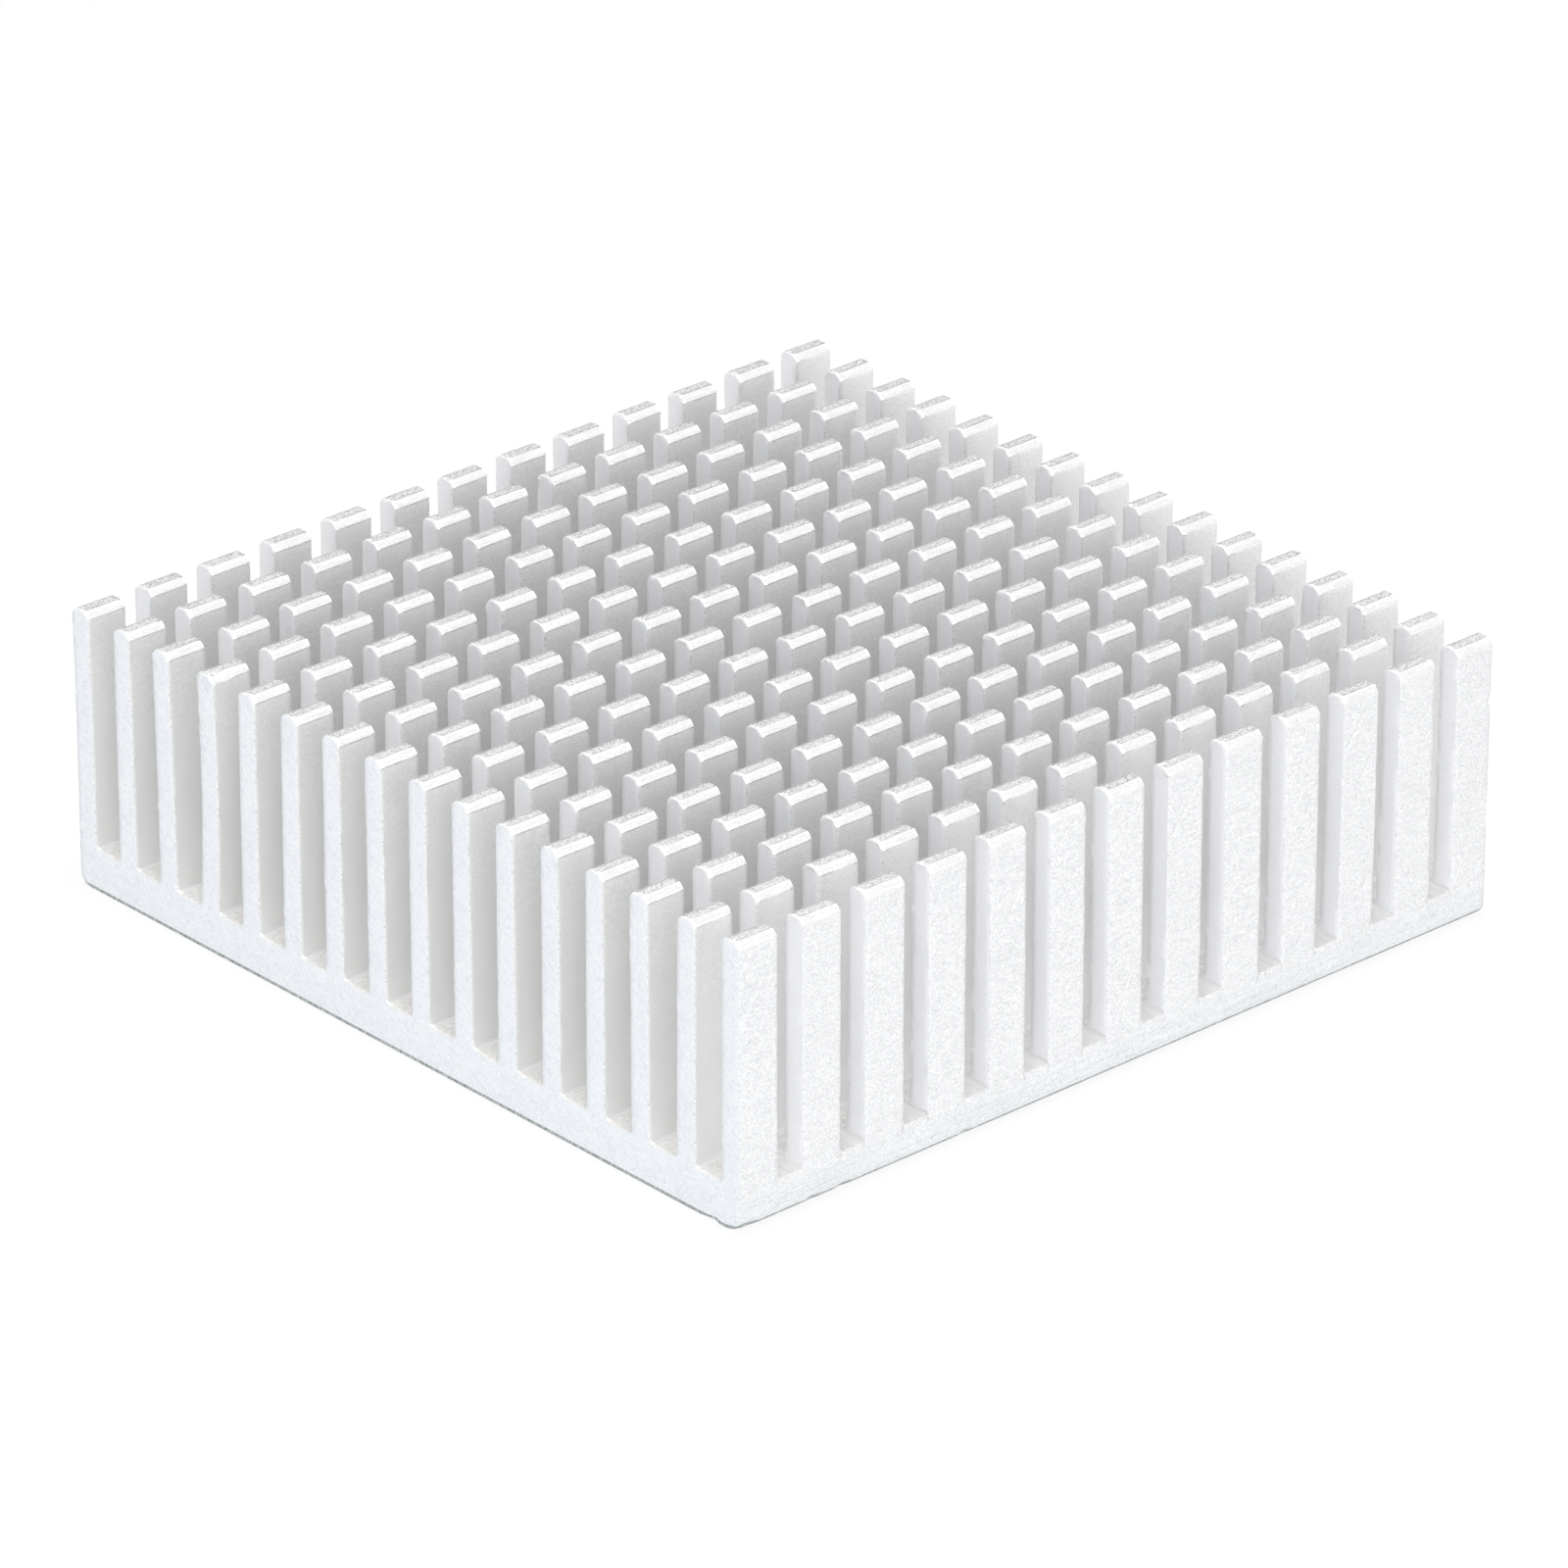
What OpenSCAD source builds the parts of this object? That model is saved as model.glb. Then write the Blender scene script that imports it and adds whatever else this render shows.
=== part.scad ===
// Pin fin heat sink: one aluminium extrusion with long fins, sawn across into a field of pins.
// The fins run along X and stand side by side along Y. The underside is the plane z = 0,
// and the origin is at its centre.

/* [Base] */
// Length of the heat sink along the fins
length = 60; // [50:1:90]
// Width of the heat sink across the fins
width = 60; // [50:1:90]
// Height from the underside to the pin tips
height = 18.5; // [10:0.5:40]
// Thickness of the base under the slots
base_t = 2.85; // [2:0.05:5]
// Rounding of the two long bottom edges
edge_r = 0.9; // [0.2:0.1:1.4]

/* [Fins] */
// Number of fins side by side
fin_count = 16; // [8:1:20]
// Thickness of a fin at its root
fin_t = 1.6; // [1.3:0.05:2.2]
// How much wider a slot is at its mouth than at its floor
slot_flare = 0.1; // [0.02:0.02:0.3]
// Rounding of the two long edges of a tip
tip_r = 0.5; // [0.1:0.05:0.6]
// Fillet between a fin and the slot floor
root_r = 0.2; // [0.1:0.05:0.5]

/* [Cross cuts] */
// Number of pins left along each fin
pin_count = 13; // [6:1:17]
// Width of a cross cut
kerf_w = 1.9; // [1:0.1:2.6]
// Depth of the cross cuts below the slot floor
cut_extra = 0.25; // [0.05:0.05:1]
// Fillet in the bottom corners of a cross cut
cut_r = 0.2; // [0.1:0.05:0.4]

/* [Hidden] */
$fn = 48;
// how far a cutting shape runs past the surface that it cuts
over = 1;
fin_pitch = (width - fin_t) / (fin_count - 1);
pin_pitch = (length + kerf_w) / pin_count;
slot_w = fin_pitch - fin_t;
mouth_w = slot_w + slot_flare;
fin_h = height - base_t;

// What a rounding of radius r leaves out of a square corner, with the corner at the origin
module corner(r) {
    difference() {
        square(r);
        translate([r, r]) circle(r);
    }
}

// Copies a shape to both sides of the line y = 0 of a section
module both_sides() {
    for (side = [0, 1]) mirror([side, 0]) children();
}

// Section of the gap between two fins, standing on the slot floor: filleted at the floor,
// flared towards the mouth, and opened at the lips by the rounding of the two tips
module slot_section() {
    difference() {
        polygon([
            [-slot_w / 2, 0], [-slot_w / 2, root_r],
            [-mouth_w / 2, fin_h - tip_r], [-mouth_w / 2, fin_h + over],
            [mouth_w / 2, fin_h + over], [mouth_w / 2, fin_h - tip_r],
            [slot_w / 2, root_r], [slot_w / 2, 0]
        ]);
        both_sides() translate([-slot_w / 2, 0]) corner(root_r);
    }
    both_sides() translate([mouth_w / 2, fin_h]) mirror([0, 1]) corner(tip_r);
}

// Section of the whole extrusion across the fins
module extrusion_section() {
    difference() {
        translate([-width / 2, 0]) square([width, height]);
        both_sides() {
            translate([-width / 2, 0]) corner(edge_r);
            translate([-width / 2, height]) mirror([0, 1]) corner(tip_r);
        }
        for (i = [1 : fin_count - 1])
            translate([-(width + slot_w) / 2 + i * fin_pitch, base_t]) slot_section();
    }
}

// Section of one saw cut, standing on its own floor
module kerf_section() {
    difference() {
        translate([-kerf_w / 2, 0]) square([kerf_w, fin_h + cut_extra + over]);
        both_sides() translate([-kerf_w / 2, 0]) corner(cut_r);
    }
}

// One saw cut right across all fins, at x = 0
module kerf() {
    translate([0, width / 2 + over, base_t - cut_extra]) rotate([90, 0, 0])
        linear_extrude(width + 2 * over) kerf_section();
}

// The extrusion, cut to length and sawn across
module heat_sink() {
    color("gainsboro") difference() {
        translate([-length / 2, 0, 0]) rotate([90, 0, 90])
            linear_extrude(length) extrusion_section();
        for (i = [1 : pin_count - 1])
            translate([-(length + kerf_w) / 2 + i * pin_pitch, 0, 0]) kerf();
    }
}

heat_sink();
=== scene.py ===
"""Looks of a square pin fin heat sink: its mesh with saw burrs and bent pins, its finishes, the studio.

Sizes in the classes are millimetres unless a name or comment says otherwise; Blender itself holds metres.
The part lies in its own frame: X runs along the extruded fins, Y across them and Z up from the underside.
"""

import logging
import math
from dataclasses import dataclass, field
from enum import Enum, IntEnum

import bmesh
import bpy
import numpy as np
from mathutils import Euler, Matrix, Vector


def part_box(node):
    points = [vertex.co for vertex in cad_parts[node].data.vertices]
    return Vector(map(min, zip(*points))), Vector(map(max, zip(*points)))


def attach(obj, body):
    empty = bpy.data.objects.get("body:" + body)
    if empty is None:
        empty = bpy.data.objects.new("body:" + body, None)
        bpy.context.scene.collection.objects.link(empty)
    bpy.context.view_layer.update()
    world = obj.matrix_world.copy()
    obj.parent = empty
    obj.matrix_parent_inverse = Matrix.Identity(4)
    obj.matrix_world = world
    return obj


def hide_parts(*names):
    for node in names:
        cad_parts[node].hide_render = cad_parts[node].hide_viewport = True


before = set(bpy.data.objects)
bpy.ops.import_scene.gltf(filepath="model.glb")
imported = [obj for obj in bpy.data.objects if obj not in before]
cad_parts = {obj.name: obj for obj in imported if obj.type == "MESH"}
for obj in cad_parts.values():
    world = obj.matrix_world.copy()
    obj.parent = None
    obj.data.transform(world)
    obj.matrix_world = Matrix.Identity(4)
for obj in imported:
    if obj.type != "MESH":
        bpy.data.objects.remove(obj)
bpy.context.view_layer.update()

LOG = logging.getLogger("heat_sink")
MM = 0.001
NODE = "heat_sink"
PIECE_NAME = "pin_fin_body"

Socket = bpy.types.NodeSocket
Input = Socket | float


class Surface(IntEnum):
    """Which finish a face takes; the value is its material index."""

    WALL = 0
    SLOT = 1
    SAWN = 2
    CREST = 3
    SHOULDER = 4
    ROOT = 5
    KERF = 6
    UNDERSIDE = 7
    BURR = 8
    CUT = 9
    BASE_SIDE = 10
    FOOT = 11


class Grain(Enum):
    """Which way the fine lines of a finish run, as a rotation in degrees and the axis that they follow."""

    ALONG_FIN = (0.0, 0.0, 0.0)
    SAW_SWEEP = (-38.0, 0.0, 90.0)
    ACROSS_FIN = (0.0, 0.0, 90.0)


# --- mesh -----------------------------------------------------------------------------------------


@dataclass
class MeshSketch:
    """Gathers grids of points and welds them wherever they share a place."""

    points: list[np.ndarray] = field(default_factory=list)
    burrs: list[np.ndarray] = field(default_factory=list)
    quads: list[np.ndarray] = field(default_factory=list)
    surfaces: list[np.ndarray] = field(default_factory=list)
    count: int = 0
    steps_per_mm: float = 1e4

    def add_grid(self, points: np.ndarray, surface: int | np.ndarray, burr: float | np.ndarray = 0.0) -> None:
        """Adds a grid of quads.

        Args:
            points: Places in millimetres, as rows by columns by 3.
            surface: The finish of all the quads, or one for each quad.
            burr: How strongly the saw roughened each point, from 0 to 1.
        """
        rows, columns, _ = points.shape
        index = np.arange(rows * columns).reshape(rows, columns) + self.count
        corners = (index[:-1, :-1], index[1:, :-1], index[1:, 1:], index[:-1, 1:])
        self.quads.append(np.stack(corners, axis=-1).reshape(-1, 4))
        self.surfaces.append(np.broadcast_to(surface, (rows - 1, columns - 1)).reshape(-1))
        self.points.append(points.reshape(-1, 3))
        self.burrs.append(np.broadcast_to(burr, (rows, columns)).reshape(-1))
        self.count += rows * columns

    def weld(self, loop: np.ndarray) -> tuple[np.ndarray, np.ndarray, np.ndarray, np.ndarray, np.ndarray]:
        """Joins points that share a place.

        Args:
            loop: Places of a closed outline whose points are all in the grids.

        Returns:
            Points, burr weights, quads, the finish of each quad, and the outline as point numbers.
        """
        points = np.concatenate(self.points)
        _, first, inverse = np.unique(self._keys(points), axis=0, return_index=True, return_inverse=True)
        inverse = inverse.reshape(-1)
        burr = np.zeros(len(first))
        np.maximum.at(burr, inverse, np.concatenate(self.burrs))
        welded = points[first]
        numbers = {tuple(key): number for number, key in enumerate(self._keys(welded).tolist())}
        outline = np.array([numbers[tuple(key)] for key in self._keys(loop).tolist()])
        return welded, burr, inverse[np.concatenate(self.quads)], np.concatenate(self.surfaces), outline

    def _keys(self, places: np.ndarray) -> np.ndarray:
        """Whole numbers that are the same for points in the same place."""
        return np.round(places * self.steps_per_mm).astype(np.int64)


@dataclass(frozen=True)
class Section:
    """Cross section of the extruded blank, a base plate with upright fins, in the YZ plane."""

    width: float
    height: float
    base_t: float = 2.85
    edge_r: float = 0.9
    fin_count: int = 16
    fin_t: float = 1.6
    slot_flare: float = 0.1
    tip_r: float = 0.5
    root_r: float = 0.2
    waist: float = 2.0
    fin_columns: int = 4
    floor_columns: int = 2
    root_steps: int = 2
    tip_turns: tuple[float, ...] = (0.0, 9.0, 18.0, 72.0, 90.0)
    edge_turns: tuple[float, ...] = (0.0, 20.0, 40.0, 62.0, 76.0, 90.0)

    @property
    def pitch(self) -> float:
        """Distance from one fin to the next."""
        return (self.width - self.fin_t) / (self.fin_count - 1)

    def centre(self, fin: int) -> float:
        """Middle line of a fin along Y."""
        return fin * self.pitch - (self.width - self.fin_t) / 2

    def flank(self, wall_steps: np.ndarray, inset: float, outer: bool) -> np.ndarray:
        """One side of a fin from the slot floor to the flat of its tip.

        Args:
            wall_steps: Places of the wall's rows, from 0 at the root fillet to 1 at the tip rounding.
            inset: How far the outline is drawn in, as it is where a sawn edge is broken.
            outer: Whether this side is an outer face of the blank, with no slot beside it.

        Returns:
            Distance from the fin's middle line and height, one row for each level.
        """
        half = self.fin_t / 2
        tip_half = half if outer else half - self.slot_flare / 2
        root = np.linspace(0, math.pi / 2, self.root_steps + 1)
        root_z = self.base_t + self.root_r - (self.root_r + inset) * np.cos(root)
        root_y = half + self.root_r - (self.root_r + inset) * np.sin(root)
        if outer:
            root_y = np.full_like(root_z, half - inset)
        low, high = self.base_t + self.root_r, self.height - self.tip_r
        wall_z = low + (high - low) * wall_steps
        wall_y = half + (tip_half - half) * wall_steps - inset
        tip = np.radians(self.tip_turns)
        tip_y = tip_half - self.tip_r + (self.tip_r - inset) * np.cos(tip)
        tip_z = high + (self.tip_r - inset) * np.sin(tip)
        away = np.concatenate((root_y, wall_y, tip_y))
        rise = np.concatenate((root_z, wall_z, tip_z))
        return np.column_stack((away, rise))

    def fin_grid(self, fin: int, wall_steps: np.ndarray, inset: float) -> np.ndarray:
        """A fin's whole section.

        Args:
            fin: Number of the fin, from 0 at the low end of Y.
            wall_steps: Places of the wall's rows, from 0 at the root fillet to 1 at the tip rounding.
            inset: How far the outline is drawn in.

        Returns:
            Places as levels by columns by (y, z).
        """
        left = self.flank(wall_steps, inset, fin == 0)
        right = self.flank(wall_steps, inset, fin == self.fin_count - 1)
        share = np.linspace(0, 1, self.fin_columns + 1)[None, :]
        y = self.centre(fin) - left[:, :1] * (1 - share) + right[:, :1] * share
        return np.stack((y, np.broadcast_to(left[:, 1:], y.shape)), axis=-1)

    def plan_row(self, inset: float) -> np.ndarray:
        """Finds where the mesh lines meet the top of the base.

        Args:
            inset: How far the fins' outline is drawn in.

        Returns:
            The Y of each line, from one long side to the other.
        """
        steps = np.zeros(0)
        feet = [self.fin_grid(fin, steps, inset)[0, :, 0] for fin in range(self.fin_count)]
        row = [feet[0]]
        for before, after in zip(feet, feet[1:]):
            row.append(np.linspace(before[-1], after[0], self.floor_columns + 1)[1:-1])
            row.append(after)
        return np.concatenate(row)

    def base_rows(self, inset: float) -> np.ndarray:
        """Rounds the base's bottom edge.

        Args:
            inset: How far the outline is drawn in.

        Returns:
            Half width and height of each level of the base, from the underside to its waist.
        """
        turn = np.radians(self.edge_turns)
        half = self.width / 2 - self.edge_r + (self.edge_r - inset) * np.sin(turn)
        rise = self.edge_r - (self.edge_r - inset) * np.cos(turn)
        return np.vstack((np.column_stack((half, rise)), [self.width / 2 - inset, self.waist]))


@dataclass(frozen=True)
class SawCuts:
    """The cross cuts that leave pins, and the mesh lines along X that they need."""

    length: float
    pin_count: int = 13
    kerf_w: float = 1.9
    cut_depth: float = 0.25
    cut_r: float = 0.2
    edge_break: float = 0.07
    inner_steps: tuple[float, ...] = (0.11, 0.31, 0.5, 0.69, 0.89)
    arc_steps: int = 2
    ridge: tuple[float, float] = (0.3, 0.07)

    @property
    def pitch(self) -> float:
        """Distance from one cut to the next."""
        return (self.length + self.kerf_w) / self.pin_count

    @property
    def pin_length(self) -> float:
        """Length of a pin along X."""
        return self.pitch - self.kerf_w

    def start(self, pin: int) -> float:
        """Where a pin's near face lies along X."""
        return pin * self.pitch - self.length / 2

    def stations(self, pin: int) -> tuple[np.ndarray, np.ndarray]:
        """Mesh lines along a pin.

        Args:
            pin: Number of the pin, from 0 at the low end of X.

        Returns:
            The X of each line, and how far the section is drawn in there.
        """
        first, last = self.start(pin), self.start(pin) + self.pin_length
        inner = first + self.pin_length * np.array(self.inner_steps)
        places = [first, first + self.edge_break, *inner, last - self.edge_break, last]
        insets = np.zeros(len(places))
        insets[[0, -1]] = self.edge_break
        return np.array(places), insets

    def trough(self, pin: int, floor_z: float) -> np.ndarray:
        """Bottom of the cut behind a pin, with the low ridges that the blade left.

        Args:
            pin: Number of the pin before the cut.
            floor_z: Height of the slot floors.

        Returns:
            X and Z of each mesh line, from one sawn face to the next.
        """
        first = self.start(pin) + self.pin_length
        last = self.start(pin + 1)
        turn = np.linspace(0, math.pi / 2, self.arc_steps + 1)
        down_x, down_z = self.cut_r * (1 - np.cos(turn)), self.cut_r * (1 - np.sin(turn))
        bottom = floor_z - self.cut_depth
        left = np.column_stack((first + down_x, bottom + down_z))
        right = np.column_stack((last - down_x, bottom + down_z))[::-1]
        left[0, 1] = right[-1, 1] = floor_z - self.edge_break
        centre, (reach, rise) = (first + last) / 2, self.ridge
        middle = [[centre - reach, bottom + rise], [centre, bottom], [centre + reach, bottom + rise]]
        return np.vstack((left, middle, right))


@dataclass(frozen=True)
class BentPin:
    """A pin or fin end that stands visibly out of line."""

    fin: int
    pin: int
    top: float
    middle: float = 0.0


@dataclass(frozen=True)
class Dent:
    """A knock or a nick: everything within reach of a place is pushed one way and roughened."""

    place: tuple[float, float, float]
    reach: float
    push: tuple[float, float, float]
    rough: float = 0.0
    fall: float = 0.7

    def apply(self, rng: np.random.Generator, moved: np.ndarray) -> None:
        """Pushes the points near the dent, most at its middle.

        Args:
            rng: The source of the roughness.
            moved: Places of all the points, which are changed.
        """
        nearness = np.clip(1 - np.linalg.norm(moved - self.place, axis=1) / self.reach, 0, 1)
        share = nearness[:, None] ** self.fall
        moved += share * (np.array(self.push) + rng.normal(0, self.rough, moved.shape))


@dataclass(frozen=True)
class Wear:
    """How far the real piece strays from an even one, all within the size of the blank."""

    seed: int = 11
    fin_wave: float = 0.035
    wave_parts: tuple[tuple[float, float], ...] = ((47.0, 1.0), (19.0, 0.6), (8.0, 0.3))
    pin_lean: float = 0.04
    bow_share: float = 0.25
    sway_share: float = 0.5
    crest_drop: float = 0.07
    drop_power: int = 6
    crest_band: float = 0.12
    crest_rough: float = 0.007
    edge_rough: float = 0.009
    burr_share: float = 0.12
    burr_reach: float = 0.05
    cut_drift: tuple[float, ...] = (0.02, 0.05, 0.18, 0.2, 0.16, 0.04, -0.02, -0.08, 0.03, -0.06, -0.1, -0.04)
    bent_pins: tuple[BentPin, ...] = (
        BentPin(12, 0, -0.1, -0.28),
        BentPin(13, 0, 0.28, 0.1),
        BentPin(1, 0, -0.1, -0.05),
        BentPin(15, 0, 0.0, -0.05),
    )
    dents: tuple[Dent, ...] = (
        Dent((-29.6, 16.9, 18.2), 0.9, (0.05, 0.02, -0.08), 0.07),
        Dent((-30.0, 16.1, 13.9), 0.45, (0.05, -0.14, 0.0), 0.02),
        Dent((-30.0, 12.7, 13.6), 0.4, (0.0, -0.1, 0.0), 0.02),
        Dent((-30.0, 24.1, 17.2), 0.4, (0.05, -0.1, 0.0), 0.02),
        Dent((-30.0, -20.6, 14.3), 0.45, (0.0, 0.12, 0.0), 0.02),
        Dent((-30.0, -20.6, 15.6), 0.45, (0.08, 0.1, 0.0), 0.02),
        Dent((29.8, -30.0, 14.3), 0.5, (-0.2, 0.08, 0.0), 0.02),
        Dent((3.8, -29.6, 18.4), 1.0, (0.0, 0.02, -0.06), 0.06),
        Dent((18.1, -26.2, 18.4), 1.0, (0.0, 0.0, -0.05), 0.05),
        Dent((-30.0, -30.0, 17.2), 0.8, (0.06, 0.05, 0.0), 0.03),
        Dent((-30.0, -30.0, 2.0), 0.5, (0.09, 0.09, 0.0), 0.02),
        Dent((-30.0, -30.0, 0.1), 1.2, (0.2, 0.2, 0.05), 0.03),
        Dent((-28.9, -30.0, 0.75), 0.45, (0.0, 0.12, 0.0), 0.02),
        Dent((-24.2, -29.9, 0.4), 0.5, (0.0, 0.1, 0.05), 0.02),
        Dent((-22.0, -29.7, 0.2), 0.6, (0.0, 0.12, 0.06), 0.03),
        Dent((-12.5, -29.8, 0.3), 0.5, (0.0, 0.1, 0.03), 0.02),
        Dent((-30.0, -27.6, 0.1), 0.6, (0.1, 0.0, 0.08), 0.03),
    )

    def apply(self, points: np.ndarray, burr: np.ndarray, section: Section, cuts: SawCuts) -> np.ndarray:
        """Bends, shifts and roughens the clean mesh.

        Args:
            points: Clean places in millimetres.
            burr: How strongly the saw roughened each point, from 0 to 1.
            section: The blank's section.
            cuts: The cross cuts.

        Returns:
            The worn places, inside the clean blank's box.
        """
        rng = np.random.default_rng(self.seed)
        moved = points.copy()
        x, y, z = points.T
        rise = np.clip((z - section.base_t) / (section.height - section.base_t), 0, 1)
        fin = np.clip(np.round((y - section.centre(0)) / section.pitch), 0, section.fin_count - 1).astype(int)
        bay = np.floor((x + cuts.length / 2 + cuts.kerf_w / 2) / cuts.pitch)
        pin = np.clip(bay, 0, cuts.pin_count - 1).astype(int)
        moved[:, 0] += np.interp(x, *self._drift_knots(cuts))
        moved[:, 1] += rise * self._fin_wave(rng, section, fin, x)
        grid = (section.fin_count, cuts.pin_count)
        lean = rng.normal(0, self.pin_lean, grid)
        bow = rng.normal(0, self.pin_lean * self.bow_share, grid)
        sway = rng.normal(0, self.pin_lean * self.sway_share, grid)
        for bent in self.bent_pins:
            lean[bent.fin, bent.pin], bow[bent.fin, bent.pin] = bent.top, bent.middle - bent.top / 2
        moved[:, 1] += lean[fin, pin] * rise + bow[fin, pin] * np.sin(np.pi * rise)
        moved[:, 0] += sway[fin, pin] * rise * (pin > 0) * (pin < cuts.pin_count - 1)
        drop = rng.uniform(0, self.crest_drop, grid)
        moved[:, 2] -= drop[fin, pin] * rise**self.drop_power
        crest = np.clip((z - section.height + self.crest_band) / self.crest_band, 0, 1)
        moved[:, 2] -= crest * rng.uniform(0, self.crest_rough * 2, len(z))
        self._burr(rng, moved, burr * (rise > 0))
        for dent in self.dents:
            dent.apply(rng, moved)
        half = np.array([cuts.length / 2, section.width / 2])
        moved[:, :2] = np.clip(moved[:, :2], -half, half)
        moved[:, 2] = np.clip(moved[:, 2], 0, section.height)
        return moved

    def _drift_knots(self, cuts: SawCuts) -> tuple[list[float], list[float]]:
        """Finds how far each cut strays, the same all across it.

        Args:
            cuts: The cross cuts.

        Returns:
            Places along X, and how far the mesh is shifted there.
        """
        places, shifts = [-cuts.length / 2], [0.0]
        for pin, drift in enumerate(self.cut_drift):
            places += [cuts.start(pin) + cuts.pin_length, cuts.start(pin + 1)]
            shifts += [drift, drift]
        return [*places, cuts.length / 2], [*shifts, 0.0]

    def _fin_wave(
        self, rng: np.random.Generator, section: Section, fin: np.ndarray, x: np.ndarray
    ) -> np.ndarray:
        """Slow sideways wave of each extruded fin along its length.

        Args:
            rng: The source of each fin's phases.
            section: The blank's section.
            fin: The fin that each point belongs to.
            x: Each point's place along the fin.

        Returns:
            How far each point is shifted along Y.
        """
        total = np.zeros(len(x))
        for length, share in self.wave_parts:
            phase = rng.uniform(0, 2 * np.pi, section.fin_count)
            total += share * np.sin(2 * np.pi * x / length + phase[fin])
        return self.fin_wave * total

    def _burr(self, rng: np.random.Generator, moved: np.ndarray, burr: np.ndarray) -> None:
        """Roughens the sawn edges and pushes a few of their points out as burrs.

        Args:
            rng: The source of the roughness.
            moved: Places of all the points, which are changed.
            burr: How strongly the saw roughened each point, from 0 to 1.
        """
        moved += rng.normal(0, self.edge_rough, moved.shape) * burr[:, None]
        torn = (rng.uniform(size=len(burr)) < self.burr_share) * burr
        moved += rng.uniform(-1, 1, moved.shape) * self.burr_reach * torn[:, None]


# --- finishes -------------------------------------------------------------------------------------


class NodeSketch:
    """Short calls for laying out a material's nodes."""

    def __init__(self, name: str) -> None:
        """Starts a material with an empty node tree.

        Args:
            name: Name of the material.
        """
        self.material = bpy.data.materials.new(name)
        self.material.use_nodes = True
        self.tree = self.material.node_tree
        self.tree.nodes.clear()

    def add(self, kind: str, inputs: dict | None = None, **settings: str) -> bpy.types.Node:
        """Adds a node.

        Args:
            kind: Blender's name for the node type.
            inputs: Values or sockets for the node's inputs, by name or number.
            **settings: Properties of the node itself.

        Returns:
            The new node.
        """
        node = self.tree.nodes.new(kind)
        for name, value in settings.items():
            setattr(node, name, value)
        for key, value in (inputs or {}).items():
            if isinstance(value, Socket):
                self.tree.links.new(value, node.inputs[key])
            else:
                node.inputs[key].default_value = value
        return node

    def math(self, operation: str, first: Input, second: Input) -> Socket:
        """Result of a Math node on two values or sockets."""
        return self.add("ShaderNodeMath", {0: first, 1: second}, operation=operation).outputs[0]

    def remap(self, value: Socket, low: float, high: float, to_low: float, to_high: float) -> Socket:
        """Value carried from one range to another and kept inside it."""
        inputs = {"Value": value, "From Min": low, "From Max": high, "To Min": to_low, "To Max": to_high}
        return self.add("ShaderNodeMapRange", inputs).outputs["Result"]

    def noise(self, place: Socket, feature: float, detail: float, rough: float = 0.5) -> Socket:
        """Noise whose features measure about so many millimetres."""
        inputs = {"Vector": place, "Scale": 1 / (feature * MM), "Detail": detail, "Roughness": rough}
        return self.add("ShaderNodeTexNoise", inputs).outputs["Fac"]

    def stretched(self, place: Socket, turn: tuple[float, float, float], squeeze: float) -> Socket:
        """Places turned and squeezed, so that noise turns into marks that run one way.

        Args:
            place: The places to change.
            turn: Rotation in radians that lays the marks' way along X.
            squeeze: What is left of a length along the marks, as a share.

        Returns:
            The changed places.
        """
        inputs = {"Vector": place, "Rotation": turn}
        turned = self.add("ShaderNodeVectorRotate", inputs, rotation_type="EULER_XYZ").outputs["Vector"]
        inputs = {"Vector": turned, "Scale": (squeeze, 1.0, 1.0)}
        return self.add("ShaderNodeMapping", inputs).outputs["Vector"]


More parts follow.
